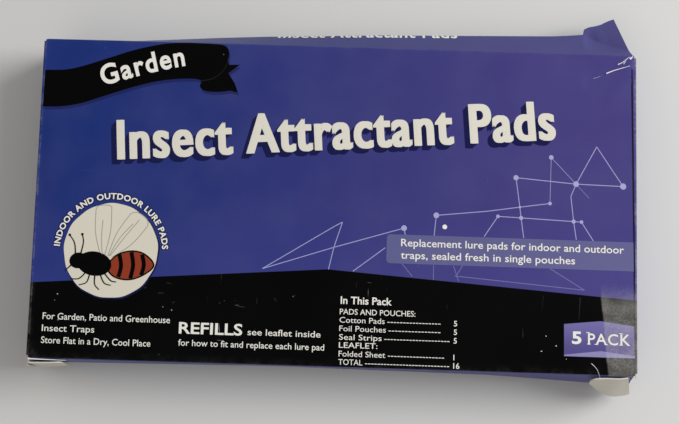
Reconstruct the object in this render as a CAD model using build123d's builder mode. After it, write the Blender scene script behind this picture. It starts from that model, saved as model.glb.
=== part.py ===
import os
from math import cos, radians, sin

from build123d import *

# A tuck-end carton of paperboard, lying on its back panel.
# The origin is the centre of the back panel's outer face: +X is the carton's length,
# +Y its width and +Z its depth, up to the printed front panel. Sizes are in millimetres.

# Carton
half_length = 114.6  # end of the front and back panels
wall_end = 114.0  # end of the side panels, just inside the closures
half_width = 62.0
depth = 26.0
board = 0.45  # thickness of the paperboard
seam = 0.05  # the side panels stop this far below the front panel
corner_drop = 5.0  # the front panel's upper right corner is pressed down by this
glue_flap_width = 14.0
glue_flap_half_length = 97.0
glue_flap_slant = 8.0

# Closures at the two ends, hinged on the front panel
closure_face = 114.9  # inner face of a closed closure
closure_half_width = 61.0
closure_foot = 1.05  # height of the crease between closure and tongue
hinge_x = 114.75
hinge_rise = 0.05  # the closure's crease stands this far above the front panel
crease = 0.3  # bare crease between two boards that fold on each other
tongue_hinge_z = 0.85
tongue_reach = 15.0
tongue_half_width = 57.0
tongue_lift = 22.0  # degrees that a tucked tongue stands off the back panel
tongue_corner = 8.0

# Dust flaps, one at each end of each side panel
flap_reach = 17.0
flap_taper = 5.8  # the lower edge rises by this over the flap's reach
flap_corner = 2.5
tucked_x = 113.4  # crease of a flap that is tucked in behind its closure
tucked_y = 61.2
tucked_foot = 4.2
folded_x = 114.9  # crease of a flap that is folded back outside
left_fold = (64.2, 3.0, 21.5)  # crease of the lower left flap: distance out, foot, length
left_splay = 5.0  # degrees that the folded flap stands off the wall
right_fold_foot = (67.3, 6.5)  # the lower right flap's crease leans outward: distance out, foot
right_fold_head = (63.2, 24.4)
right_splay = 6.0

# Refill pouches and leaflet
pouch_count = 5
pouch_length = 186.0
pouch_width = 112.0
pouch_height = 3.5
pouch_gap = 0.25
pouch_corner = 3.0
film = 0.2
blister_length = 160.0  # the part of the front film that stands over the pad
blister_width = 90.0
blister_slope = 8.0  # how far its side slopes in
blister_corner = 12.0
pad_length = 140.0
pad_width = 70.0
pad_height = 2.6
pad_corner = 7.0
stack_foot = 1.3
leaflet_length = 178.0
leaflet_width = 104.0
leaflet_sheet = 0.2


def save(piece, label):
    piece.part.label = label
    export_step(piece.part, f"parts/{label}.step")


def upper_crease(x):
    # Height of the front panel's outer face along its upper long edge.
    return depth - corner_drop * (x + half_length) / (2 * half_length)


def upright_plane(origin, along, up=(0, 0, 1)):
    # A plane whose first direction is along and whose second is up.
    return Plane(origin, along, Vector(*along).cross(Vector(*up)))


def buckled_wall(side, stations):
    # A side panel with a lengthwise fold that bows outward. Each station gives its place
    # along the wall, how far its bulge leans back from the end, the bulge, the height of
    # the fold and the height of the wall's top edge.
    with BuildPart() as wall:
        for x, lean, bulge, knee, top in stations:
            outward = tuple(Vector(-lean, side * bulge, 0).normalized())
            reach = (lean**2 + bulge**2) ** 0.5
            with BuildSketch(upright_plane((x, side * half_width, 0), outward)):
                with BuildLine():
                    Polyline(
                        (0, board),
                        (reach, knee),
                        (0, top),
                        (-board, top),
                        (reach - board, knee),
                        (-board, board),
                        close=True,
                    )
                make_face()
        loft(ruled=True)
    return wall


def dust_flap(plane, shift, length):
    # A tapered flap, drawn from its crease along the plane's first direction, length tall
    # at the crease. shift is the distance of its nearer face from the crease's own plane.
    with BuildPart() as flap:
        with BuildSketch(plane.offset(shift)) as outline:
            with BuildLine():
                Polyline(
                    (crease, 0),
                    (flap_reach, flap_taper),
                    (flap_reach, length),
                    (crease, length),
                    close=True,
                )
            make_face()
            fillet(outline.vertices().sort_by(Axis.X)[-2:], flap_corner)
        extrude(amount=board)
    return flap


def closure_panel(side, drop):
    # An end closure: its top edge follows the front panel's crease, its foot is level.
    top = depth + hinge_rise - crease
    with BuildPart() as closure:
        with BuildSketch(Plane.YZ.offset(side * closure_face)):
            with BuildLine():
                Polyline(
                    (-closure_half_width, closure_foot),
                    (closure_half_width, closure_foot),
                    (closure_half_width, top - drop),
                    (-closure_half_width, top),
                    close=True,
                )
            make_face()
        extrude(amount=side * board)
    return closure


def tuck_tongue(side):
    # The rounded tongue that tucks in over the back panel and springs up from it.
    lift = radians(tongue_lift)
    inward = (-side * cos(lift), 0, sin(lift))
    across = (0, 1, 0)
    with BuildPart() as tongue:
        with BuildSketch(upright_plane((side * hinge_x, 0, tongue_hinge_z), inward, across)) as outline:
            with Locations(((tongue_reach + crease) / 2, 0)):
                Rectangle(tongue_reach - crease, 2 * tongue_half_width)
            fillet(outline.vertices().sort_by(Axis.X)[-2:], tongue_corner)
        extrude(amount=board / 2, both=True)
    return tongue


os.makedirs("parts", exist_ok=True)

# Front panel: level along its left and lower edges, twisted down to its upper right corner.
with BuildPart() as front_panel:
    for x, drop in ((-half_length, 0), (half_length, corner_drop)):
        with BuildSketch(Plane.YZ.offset(x)):
            with BuildLine():
                Polyline(
                    (-half_width, depth - board),
                    (half_width, depth - board - drop),
                    (half_width, depth - drop),
                    (-half_width, depth),
                    close=True,
                )
            make_face()
    loft(ruled=True)
save(front_panel, "front_panel")

with BuildPart() as back_panel:
    with BuildSketch():
        Rectangle(2 * half_length, 2 * half_width)
    extrude(amount=board)
save(back_panel, "back_panel")

# Glue flap: the long seam, glued to the inside of the back panel along its lower edge.
with BuildPart() as glue_flap:
    with BuildSketch(Plane.XY.offset(board)):
        with BuildLine():
            seam_y = board - half_width
            Polyline(
                (-glue_flap_half_length, seam_y),
                (glue_flap_half_length, seam_y),
                (glue_flap_half_length - glue_flap_slant, seam_y + glue_flap_width),
                (glue_flap_slant - glue_flap_half_length, seam_y + glue_flap_width),
                close=True,
            )
        make_face()
    extrude(amount=board)
save(glue_flap, "glue_flap")

# Side panels. The upper one is buckled outward more and more towards the right, and its
# right end is crushed into a peak that leans back from the carton's corner.
upper_stations = [
    (x, lean, bulge, knee, upper_crease(x) - board - seam)
    for x, lean, bulge, knee in (
        (-wall_end, 0, 0.6, 13.0),
        (-92, 0, 2.4, 13.0),
        (-30, 0, 6.4, 13.0),
        (15, 0, 8.4, 13.0),
        (96, 0, 10.6, 12.6),
        (wall_end, 6.5, 14.5, 12.0),
    )
]
save(buckled_wall(1, upper_stations), "upper_side_panel")

lower_stations = [
    (x, 0, bulge, knee, depth - board - seam)
    for x, bulge, knee in (
        (-wall_end, 1.5, 13.0),
        (-20, 0.2, 13.0),
        (60, 1.2, 12.0),
        (wall_end, 4.2, 9.0),
    )
]
save(buckled_wall(-1, lower_stations), "lower_side_panel")

# End closures and their tongues.
for name, side, drop in (("left", -1, 0), ("right", 1, corner_drop)):
    save(closure_panel(side, drop), f"{name}_closure_panel")
    save(tuck_tongue(side), f"{name}_tuck_tongue")

# The upper dust flaps are tucked in behind the closures.
for name, side, drop in (("left", -1, 0), ("right", 1, corner_drop)):
    plane = upright_plane((side * tucked_x, tucked_y, tucked_foot), (0, -1, 0))
    inward = 0 if side > 0 else -board
    tall = depth - drop - 2 * board - tucked_foot
    save(dust_flap(plane, inward, tall), f"upper_{name}_dust_flap")

# The lower dust flaps are folded back on the outside of the lower side panel.
out, foot, tall = left_fold
along = (cos(radians(left_splay)), -sin(radians(left_splay)), 0)
plane = upright_plane((-folded_x, -out, foot), along)
save(dust_flap(plane, crease, tall), "lower_left_dust_flap")

foot_y, foot_z = right_fold_foot
head_y, head_z = right_fold_head
fold = Vector(0, foot_y - head_y, head_z - foot_z)
along = tuple(Vector(-1, 0, 0).rotate(Axis((0, 0, 0), tuple(fold)), right_splay))
plane = upright_plane((folded_x, -foot_y, foot_z), along, tuple(fold.normalized()))
save(dust_flap(plane, -crease - board, fold.length), "lower_right_dust_flap")

# Refill pouches: a flat back film, a front film raised over the pad, and the soaked pad.
for n in range(pouch_count):
    base = stack_foot + n * (pouch_height + pouch_gap)
    with BuildPart() as back_film:
        with BuildSketch(Plane.XY.offset(base)):
            RectangleRounded(pouch_length, pouch_width, pouch_corner)
        extrude(amount=film)
    save(back_film, f"pouch_{n + 1}_back_film")

    with BuildPart() as front_film:
        with BuildSketch(Plane.XY.offset(base + film)):
            RectangleRounded(pouch_length, pouch_width, pouch_corner)
        extrude(amount=film)
        for inset, mode in ((0, Mode.ADD), (film, Mode.SUBTRACT)):
            foot = base + film
            head = base + pouch_height - inset
            for height, slope in ((foot, 0), (head, blister_slope)):
                with BuildSketch(Plane.XY.offset(height)):
                    RectangleRounded(
                        blister_length - 2 * (inset + slope),
                        blister_width - 2 * (inset + slope),
                        blister_corner - inset - slope / 2,
                    )
            loft(ruled=True, mode=mode)
    save(front_film, f"pouch_{n + 1}_front_film")

    with BuildPart() as cotton_pad:
        with BuildSketch(Plane.XY.offset(base + film)):
            RectangleRounded(pad_length, pad_width, pad_corner)
        extrude(amount=pad_height)
        chamfer(cotton_pad.faces().sort_by(Axis.Z)[-1].edges(), 0.6)
    save(cotton_pad, f"cotton_pad_{n + 1}")

# Instruction leaflet: one sheet folded in two along its lower long edge.
with BuildPart() as instruction_leaflet:
    leaflet_foot = stack_foot + pouch_count * (pouch_height + pouch_gap)
    inner = leaflet_width - leaflet_sheet
    with BuildSketch(Plane.YZ.offset(-leaflet_length / 2)):
        with Locations((0, leaflet_foot + 1.5 * leaflet_sheet)):
            Rectangle(leaflet_width, 3 * leaflet_sheet)
            with Locations((leaflet_sheet / 2, 0)):
                Rectangle(inner, leaflet_sheet, mode=Mode.SUBTRACT)
    extrude(amount=leaflet_length)
save(instruction_leaflet, "instruction_leaflet")
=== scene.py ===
import math

import bpy
from mathutils import Matrix, Vector


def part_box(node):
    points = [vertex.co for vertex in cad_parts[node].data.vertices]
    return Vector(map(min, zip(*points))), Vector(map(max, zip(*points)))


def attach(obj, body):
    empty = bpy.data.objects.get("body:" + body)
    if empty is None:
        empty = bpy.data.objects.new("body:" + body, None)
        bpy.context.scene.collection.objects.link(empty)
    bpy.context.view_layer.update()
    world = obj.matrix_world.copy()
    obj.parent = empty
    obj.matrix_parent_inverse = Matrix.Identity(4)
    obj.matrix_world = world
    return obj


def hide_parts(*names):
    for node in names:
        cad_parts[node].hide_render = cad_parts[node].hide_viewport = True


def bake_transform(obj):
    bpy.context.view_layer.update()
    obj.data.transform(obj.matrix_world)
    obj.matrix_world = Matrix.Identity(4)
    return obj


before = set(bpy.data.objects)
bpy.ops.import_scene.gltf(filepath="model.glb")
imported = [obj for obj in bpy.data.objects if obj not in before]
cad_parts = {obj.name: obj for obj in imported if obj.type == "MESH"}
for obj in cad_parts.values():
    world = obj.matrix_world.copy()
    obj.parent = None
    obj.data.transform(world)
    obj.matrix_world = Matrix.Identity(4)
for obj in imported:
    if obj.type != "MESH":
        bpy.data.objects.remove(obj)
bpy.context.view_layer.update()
mm = 0.001  # the script thinks in millimetres and Blender works in metres
print("frame loaded:", len(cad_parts), "nodes")


def boxOf(node):
    low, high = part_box(node)
    return low / mm, high / mm


backHigh = boxOf("back_panel")[1]
frontLow, frontHigh = boxOf("front_panel")
wallHigh = boxOf("lower_side_panel")[1]
carton = {
    "halfLength": backHigh.x,
    "halfWidth": backHigh.y,
    "depth": frontHigh.z,
    "board": backHigh.z,
    "cornerDrop": frontHigh.z - backHigh.z - frontLow.z,  # how far the upper right corner is pressed down
    "wallEnd": wallHigh.x,
    "creaseRadius": 0.9,
}
halfLength, halfWidth, depth, board = (carton[k] for k in ("halfLength", "halfWidth", "depth", "board"))


def deselectAll():
    if bpy.context.object and bpy.context.object.mode != "OBJECT":
        bpy.ops.object.mode_set(mode="OBJECT")
    bpy.ops.object.select_all(action="DESELECT")


def pick(piece):
    deselectAll()
    piece.select_set(True)
    bpy.context.view_layer.objects.active = piece


def newPiece(name):  # names what the last operator added
    piece = bpy.context.object
    piece.name = name
    piece.data.name = name
    return piece


def applyModifier(piece, kind, **settings):
    pick(piece)
    modifier = piece.modifiers.new(kind.title(), kind)
    for key, value in settings.items():
        setattr(modifier, key, value)
    bpy.ops.object.modifier_apply(modifier=modifier.name)


def smooth(piece, angle):
    pick(piece)
    bpy.ops.object.shade_smooth_by_angle(angle=math.radians(angle))


def moveVertices(piece, shape):  # shape takes and returns a point in millimetres
    for vertex in piece.data.vertices:
        vertex.co = Vector(shape(vertex.co))
    piece.data.update()


def toMetres(piece):
    for vertex in piece.data.vertices:
        vertex.co = vertex.co * mm


def finishPiece(piece, body, slot, *nodes):
    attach(piece, body)
    if nodes:
        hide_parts(*nodes)


def along(x, table):  # straight-line reading of a table of (place, value)
    for (x0, v0), (x1, v1) in zip(table, table[1:]):
        if x <= x1:
            return v0 + (v1 - v0) * max(0.0, (x - x0) / (x1 - x0))
    return table[-1][1]


def spread(start, end, count):
    return [start + (end - start) * i / count for i in range(count + 1)]


def blendNumber(a, b, share):
    return a + (b - a) * share


def smoothStep(low, high, value):
    share = min(1.0, max(0.0, (value - low) / (high - low)))
    return share * share * (3 - 2 * share)


studio = {
    "camera": (15.5, -66.6, 537.6),  # millimetres
    "cameraTurn": (7.12, 1.31, 1.77),  # degrees
    "lens": 71.58,
    "floorSize": 3.0,
    "floorColor": (0.60, 0.588, 0.57, 1),
    "floorClouds": (0.57, 0.57, 0.575, 1),
    "world": (0.86, 0.86, 0.85, 1),
    "worldStrength": 0.43,
    # name: place, aim, size, power, colour
    "window": ((1.25, 0.38, 0.95), (0, 0, 0), 0.9, 27.5, (0.97, 0.985, 1)),
    "fill": ((-0.4, -0.9, 1.3), (0, 0, 0), 1.4, 3.6, (1, 0.96, 0.90)),
}


def buildStudio():
    scene = bpy.context.scene
    scene.view_settings.view_transform = "Standard"
    world = bpy.data.worlds.new("studioWorld")
    scene.world = world
    world.use_nodes = True
    background = world.node_tree.nodes["Background"]
    background.inputs["Color"].default_value = studio["world"]
    background.inputs["Strength"].default_value = studio["worldStrength"]
    bpy.ops.object.camera_add(
        location=Vector(studio["camera"]) * mm,
        rotation=[math.radians(a) for a in studio["cameraTurn"]],
    )
    camera = bpy.context.object
    camera.data.lens = studio["lens"]
    camera.data.clip_start = 0.01
    scene.camera = camera
    for name in ("window", "fill"):
        place, aim, size, power, color = studio[name]
        bpy.ops.object.light_add(type="AREA", location=place)
        lamp = bpy.context.object
        lamp.name = name
        lamp.rotation_euler = (Vector(aim) - Vector(place)).to_track_quat("-Z", "Y").to_euler()
        lamp.data.size, lamp.data.energy, lamp.data.color = size, power, color
    bpy.ops.mesh.primitive_plane_add(size=studio["floorSize"])
    floor = newPiece("floor")
    floor.data.materials.append(floorMaterial())
    print("studio ready")


def newTree(name):
    material = bpy.data.materials.new(name)
    material.use_nodes = True
    return material, material.node_tree, material.node_tree.nodes["Principled BSDF"]


def node(tree, kind, inputs=None, **settings):
    made = tree.nodes.new("ShaderNode" + kind)
    for key, value in settings.items():
        setattr(made, key, value)
    for key, value in (inputs or {}).items():
        if isinstance(value, bpy.types.NodeSocket):
            tree.links.new(value, made.inputs[key])
        else:
            made.inputs[key].default_value = value
    return made


def mathNode(tree, operation, a, b=0.5, clamp=False):
    return node(tree, "Math", {0: a, 1: b}, operation=operation, use_clamp=clamp).outputs[0]


def times(tree, a, b, clamp=False):
    return mathNode(tree, "MULTIPLY", a, b, clamp)


def plus(tree, a, b, clamp=False):
    return mathNode(tree, "ADD", a, b, clamp)


def ramp(tree, value, low, high, outLow=0.0, outHigh=1.0):
    made = node(tree, "MapRange", {"Value": value, "From Min": low, "From Max": high,
                                   "To Min": outLow, "To Max": outHigh})
    made.interpolation_type = "SMOOTHSTEP"
    return made.outputs[0]


def mixColor(tree, share, a, b):
    return node(tree, "Mix", {0: share, 6: a, 7: b}, data_type="RGBA").outputs[2]


def noise(tree, vector, scale, detail, roughness=0.5):
    return node(tree, "TexNoise", {"Vector": vector, "Scale": scale, "Detail": detail,
                                   "Roughness": roughness}).outputs["Fac"]


def stretched(tree, vector, scale, turn=0.0):
    return node(tree, "Mapping", {"Vector": vector, "Rotation": (0, 0, math.radians(turn)),
                                  "Scale": scale}).outputs[0]


def objectCoords(tree):
    return node(tree, "TexCoord").outputs["Object"]


def bump(tree, height, strength, distance):
    return node(tree, "Bump", {"Height": height, "Strength": strength, "Distance": distance}).outputs[0]


def newGroup(name, inputs, outputs):
    group = bpy.data.node_groups.new(name, "ShaderNodeTree")
    for socket, kind in inputs:
        group.interface.new_socket(socket, in_out="INPUT", socket_type="NodeSocket" + kind)
    for socket, kind in outputs:
        group.interface.new_socket(socket, in_out="OUTPUT", socket_type="NodeSocket" + kind)
    return group, group.nodes.new("NodeGroupInput"), group.nodes.new("NodeGroupOutput")


def useGroup(tree, group, **inputs):
    made = tree.nodes.new("ShaderNodeGroup")
    made.node_tree = group
    for key, value in inputs.items():
        socket = made.inputs[key]
        if isinstance(value, bpy.types.NodeSocket):
            tree.links.new(value, socket)
        else:
            socket.default_value = value
    return made


def linkAll(tree, links):
    for source, target in links:
        tree.links.new(source, target)


wear = {
    "paper": (0.62, 0.585, 0.54, 1),
    "patchInner": 0.0993,  # the rubbed patch begins this far right and below the next value
    "patchTop": -0.030,
    "patchFoot": (0.0243, 0.0247),  # it fades out between these heights, so it stays on the front panel
    "speckScale": 480.0,
    "scratchScale": 190.0,
}


def makeBoardFibre():
    group, entry, result = newGroup(
        "boardFibre",
        [("Vector", "Vector"), ("Color", "Color")],
        [("Color", "Color"), ("Height", "Float")],
    )
    fibres = noise(group, stretched(group, entry.outputs["Vector"], (1, 3.2, 1)), 900, 4)
    clouds = noise(group, entry.outputs["Vector"], 60, 3)
    tint = mixColor(group, ramp(group, clouds, 0.3, 0.7, 0.0, 0.35), entry.outputs["Color"],
                    (0.52, 0.50, 0.47, 1))
    speckled = mixColor(group, ramp(group, fibres, 0.62, 0.72, 0.0, 0.35), tint, (0.30, 0.27, 0.23, 1))
    linkAll(group, [(speckled, result.inputs["Color"]), (fibres, result.inputs["Height"])])
    return group


def makePrintWear():
    # Handling wear of a printed, varnished board: white creases, a rubbed patch, scratches and specks.
    group, entry, result = newGroup(
        "printWear",
        [("Vector", "Vector"), ("Color", "Color"), ("Edge", "Float"), ("Scratches", "Float")],
        [("Color", "Color"), ("Roughness", "Float"), ("Height", "Float")],
    )
    vector = entry.outputs["Vector"]
    split = node(group, "SeparateXYZ", {0: vector})
    x, y, z = split.outputs
    grain = noise(group, vector, 1300, 5, 0.65)
    blotch = noise(group, vector, 170, 4, 0.6)
    edgeNoise = times(group, ramp(group, blotch, 0.38, 0.66), ramp(group, grain, 0.30, 0.62))
    edge = times(group, entry.outputs["Edge"], edgeNoise)
    inner = plus(group, x, times(group, y, 0.085))  # its left side slants a little
    inner = plus(group, inner, times(group, blotch, 0.0012))
    patch = times(group, ramp(group, inner, wear["patchInner"], wear["patchInner"] + 0.0008),
                  ramp(group, plus(group, y, times(group, grain, 0.012)),
                       wear["patchTop"] + 0.009, wear["patchTop"] - 0.001))
    patch = times(group, patch, ramp(group, z, *wear["patchFoot"]))
    rubbing = ramp(group, plus(group, grain, blotch), 0.75, 1.35, 0.13, 0.34)
    worn = times(group, patch, rubbing)
    long = noise(group, stretched(group, vector, (1, 0.05, 1), 24), wear["scratchScale"] * 9, 2)
    across = noise(group, stretched(group, vector, (0.08, 1, 1), 12), wear["scratchScale"] * 7, 2)
    where = ramp(group, noise(group, vector, 38, 2), 0.56, 0.72, 0.0, 0.6)
    lines = plus(group, ramp(group, long, 0.72, 0.78), ramp(group, across, 0.73, 0.80), True)
    scratch = times(group, times(group, lines, where), entry.outputs["Scratches"])
    cells = node(group, "TexVoronoi", {"Vector": vector, "Scale": wear["speckScale"], "Randomness": 1.0})
    rare = ramp(group, noise(group, vector, 110, 2), 0.66, 0.74)
    specks = times(group, ramp(group, cells.outputs["Distance"], 0.16, 0.08), rare)
    specks = times(group, specks, entry.outputs["Scratches"])
    total = edge
    for mark in (worn, scratch, specks):
        total = mathNode(group, "MAXIMUM", total, mark)
    total = times(group, total, 0.9, True)
    color = mixColor(group, total, entry.outputs["Color"], wear["paper"])
    smudge = ramp(group, noise(group, vector, 24, 3), 0.35, 0.75, 0.30, 0.44)
    roughness = plus(group, smudge, times(group, total, 0.45), True)
    height = mathNode(group, "SUBTRACT", times(group, noise(group, vector, 2600, 2), 0.12), total)
    linkAll(group, [(color, result.inputs["Color"]), (roughness, result.inputs["Roughness"]),
                    (height, result.inputs["Height"])])
    return group


def makeGroundAndReflection():
    # The printed ground, blue at the left and purple at the right, with a painted reflection that brightens
    # it towards the right; a little lighter towards the lower edge.
    group, entry, result = newGroup("groundAndReflection", [("Vector", "Vector")], [("Color", "Color")])
    split = node(group, "SeparateXYZ", {0: entry.outputs["Vector"]})
    share = ramp(group, split.outputs[0], -halfLength * mm, halfLength * mm)
    # painted reflection: the right end of the ground is brighter than the left
    ground = mixColor(group, share, (0.0125, 0.0285, 0.1620, 1), (0.0560, 0.0450, 0.1850, 1))
    lift = ramp(group, split.outputs[1], 0.01, -0.03, 0.0, 0.14)
    ground = mixColor(group, lift, ground, (0.085, 0.075, 0.33, 1))
    mottle = ramp(group, noise(group, entry.outputs["Vector"], 45, 4), 0.3, 0.7, 0.0, 0.10)
    linkAll(group, [(mixColor(group, mottle, ground, (0.12, 0.12, 0.26, 1)), result.inputs["Color"])])
    return group


boardFibre = makeBoardFibre()
printWear = makePrintWear()
groundAndReflection = makeGroundAndReflection()
print("shared effects ready")


printGloss = 0.045
bandEdge = {"peak": (-2.0, -25.1), "leftSlope": 0.0727, "rightSlope": 0.0719, "feather": 0.00006}


def floorMaterial():
    material, tree, shader = newTree("paleTable")
    cloud = ramp(tree, noise(tree, objectCoords(tree), 5, 3), 0.3, 0.7, 0.0, 0.25)
    color = mixColor(tree, cloud, studio["floorColor"], studio["floorClouds"])
    tree.links.new(color, shader.inputs["Base Color"])
    shader.inputs["Roughness"].default_value = 0.6
    return material


def printMaterial(name, paint, scratches=0.3, edge=False):
    material, tree, shader = newTree(name)
    vector = objectCoords(tree)
    color = paint(tree, vector) if callable(paint) else paint
    if callable(scratches):
        scratches = scratches(tree, vector)
    edgeMask = node(tree, "Attribute", attribute_name="edgeWear").outputs["Fac"] if edge else 0.0
    worn = useGroup(tree, printWear, Vector=vector, Color=color, Edge=edgeMask, Scratches=scratches)
    linkAll(tree, [(worn.outputs["Color"], shader.inputs["Base Color"]),
                   (worn.outputs["Roughness"], shader.inputs["Roughness"]),
                   (bump(tree, worn.outputs["Height"], 0.35, 0.00006), shader.inputs["Normal"])])
    shader.inputs["Specular IOR Level"].default_value = printGloss
    return material


def groundAndReflectionPaint(tree, vector):
    return useGroup(tree, groundAndReflection, Vector=vector).outputs[0]


def bandShare(tree, vector):  # 0 on the black band, whose upper edge rises to a low peak, and 1 above it
    split = node(tree, "SeparateXYZ", {0: vector})
    peakX, peakY = bandEdge["peak"]
    across = mathNode(tree, "SUBTRACT", split.outputs[0], peakX * mm)
    fall = mathNode(tree, "MAXIMUM", times(tree, across, -bandEdge["leftSlope"]),
                    times(tree, across, bandEdge["rightSlope"]))
    above = plus(tree, plus(tree, split.outputs[1], fall), -peakY * mm)
    return ramp(tree, above, -bandEdge["feather"], bandEdge["feather"])


def frontPaint(tree, vector):
    return mixColor(tree, bandShare(tree, vector), (0.0012, 0.0012, 0.0012, 1), groundAndReflectionPaint(tree, vector))


def frontScratches(tree, vector):  # handling shows most on the black band
    return ramp(tree, bandShare(tree, vector), 0, 1, 0.75, 0.10)


def tinted(color, share):  # an ink that lets the printed ground and its painted reflection through
    return lambda tree, vector: mixColor(tree, share, groundAndReflectionPaint(tree, vector), color)


def shaded(low, high, bottom, top):  # an ink that changes from one height of the panel to another
    def paint(tree, vector):
        up = node(tree, "SeparateXYZ", {0: vector}).outputs[1]
        return mixColor(tree, ramp(tree, up, low * mm, high * mm), bottom, top)
    return paint


def bareMaterial():
    material, tree, shader = newTree("bareBoard")
    fibre = useGroup(tree, boardFibre, Vector=objectCoords(tree), Color=(0.60, 0.555, 0.475, 1))
    linkAll(tree, [(fibre.outputs["Color"], shader.inputs["Base Color"]),
                   (bump(tree, fibre.outputs["Height"], 0.4, 0.00008), shader.inputs["Normal"])])
    shader.inputs["Roughness"].default_value = 0.82
    return material


finish = {
    "front": printMaterial("printedFront", frontPaint, frontScratches, edge=True),
    "side": printMaterial("printedSide", tinted((0.12, 0.13, 0.25, 1), 0.25), edge=True),
    "bare": bareMaterial(),
    "white": printMaterial("whiteInk", (0.75, 0.73, 0.665, 1), 0.2),
    "title": printMaterial("titleInk", (0.665, 0.63, 0.545, 1), 0.2),
    "black": printMaterial("blackInk", (0.0012, 0.0012, 0.0012, 1), 0.4),
    "streak": printMaterial("streakedInk", (0.016, 0.0155, 0.015, 1), 0.0),
    # dark ink for the printed ribbon fold, also used as painted shade along the front panel's right edge
    "darkLineAndShade": printMaterial("darkLineInkAndShade", (0.010, 0.010, 0.012, 1), 0.2),
    "navy": printMaterial("navyInk", (0.0095, 0.0105, 0.060, 1), 0.2),
    "veil": printMaterial("veilInk", tinted((0.20, 0.205, 0.32, 1), 0.40), 0.2),
    "line": printMaterial("paleLineInk", tinted((0.52, 0.52, 0.80, 1), 0.62), 0.2),
    "faint": printMaterial("faintLineInk", tinted((0.42, 0.42, 0.70, 1), 0.30), 0.2),
    "shadow": printMaterial("ribbonShadowInk", tinted((0.010, 0.012, 0.060, 1), 0.62), 0.2),
    "plate": printMaterial("plateInk", shaded(-54, -41, (0.085, 0.070, 0.22, 1), (0.16, 0.14, 0.34, 1)), 0.2),
    "plateLow": printMaterial("plateEdgeInk", (0.24, 0.22, 0.42, 1), 0.2),
    "paper": printMaterial("crackedInk", (0.72, 0.72, 0.74, 1), 0.0),
    "cream": printMaterial("creamInk", (0.64, 0.60, 0.50, 1), 0.2),
    "rust": printMaterial("rustInk", (0.26, 0.040, 0.018, 1), 0.2),
    "grey": printMaterial("greyInk", (0.33, 0.31, 0.26, 1), 0.2),
}
print("finishes ready:", len(finish))


sleeve = {
    "upperBulge": [(-114, 0.6), (-92, 2.4), (-30, 6.4), (15, 8.4), (95.8, 10.2), (96.3, 12.6), (98.5, 13.6),
                   (103, 14.2), (107, 14.9), (114, 17.2)],
    "plainBulge": [(-114, 99), (95, 99), (95.8, 10.2), (114, 10.8)],
    "upperKnee": [(-114, 13.0), (95, 12.8), (98, 12.6), (114, 12.0)],
    "earCrease": [(80, 5.0), (95.8, 9.8), (101, 7.5), (103, 6.2), (106.5, 5.0), (109.5, 3.9), (114, 3.0)],
    "earDent": [(95.8, 0.0), (99, 1.5), (108, 1.7), (114, 0.7)],
    "earStart": 95.8,
    "earLean": 6.1,  # the peak of the crushed corner leans back from the end by this
    "lowerBulge": [(-114, 1.5), (-20, 0.2), (60, 1.2), (114, 4.2)],
    "lowerKnee": [(-114, 13.0), (-20, 13.0), (60, 12.0), (114, 9.0)],
    "upperKneeRadius": 2.2,
    "lowerKneeRadius": 5.0,
    "cell": 2.6,
    "dome": 0.55,  # the filled carton's front stands up a little in the middle
}


def upperCrease(x):
    return depth - carton["cornerDrop"] * (x + halfLength) / (2 * halfLength)


def ridge(x, y, start, end, width, height):  # a short fold line pressed into the board
    run = Vector(end) - Vector(start)
    share = (Vector((x, y)) - Vector(start)).dot(run) / run.length_squared
    nearest = Vector(start) + run * min(1, max(0, share))
    away = (Vector((x, y)) - nearest).length / width
    return height * math.exp(-away * away)


dents = [  # start, end, width, height of each crease near the crushed corner and in the panel
    ((102.0, 54.5), (114.0, 59.0), 1.6, 0.55),
    ((97.0, 50.5), (114.0, 55.5), 2.0, -0.50),
    ((106.0, 45.0), (113.0, 56.0), 3.0, 0.30),
    ((88.0, 59.5), (103.0, 57.5), 3.0, -0.35),
    ((100.0, -61.0), (102.5, -55.0), 2.6, -0.14),
    ((-113.0, 58.0), (-104.0, 61.5), 2.4, -0.30),
]


def frontWave(x, y):
    fade = smoothStep(0, 7, halfWidth - abs(y)) * smoothStep(0, 5, halfLength - abs(x))
    dome = sleeve["dome"] * math.cos(math.pi * x / 250) * math.cos(math.pi * y / 136)
    ripple = 0.16 * math.sin(x / 21 + 0.8) * math.sin(y / 17 + 0.4) + 0.09 * math.sin(x / 9.5 - y / 14)
    marks = sum(ridge(x, y, *dent) for dent in dents) * smoothStep(0, 2.5, halfWidth - abs(y))
    return fade * (dome + ripple) + marks * smoothStep(0, 1.5, halfLength - abs(x))


def frontHeight(x, y):
    share = (y + halfWidth) / (2 * halfWidth)
    return depth - (depth - upperCrease(x)) * share + frontWave(x, y)


def bend(before, corner, after, radius, steps=6):  # a rounded corner as a quadratic curve
    start = corner + (before - corner).normalized() * min(radius, (before - corner).length * 0.45)
    end = corner + (after - corner).normalized() * min(radius, (after - corner).length * 0.45)
    return [start * (1 - t) ** 2 + corner * 2 * t * (1 - t) + end * t * t for t in spread(0, 1, steps)]


def between(start, end, count):  # points strictly between, with one close to each end
    shares = [0.02, *spread(0.06, 0.94, count), 0.98]
    return [start.lerp(end, share) for share in shares]


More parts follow.
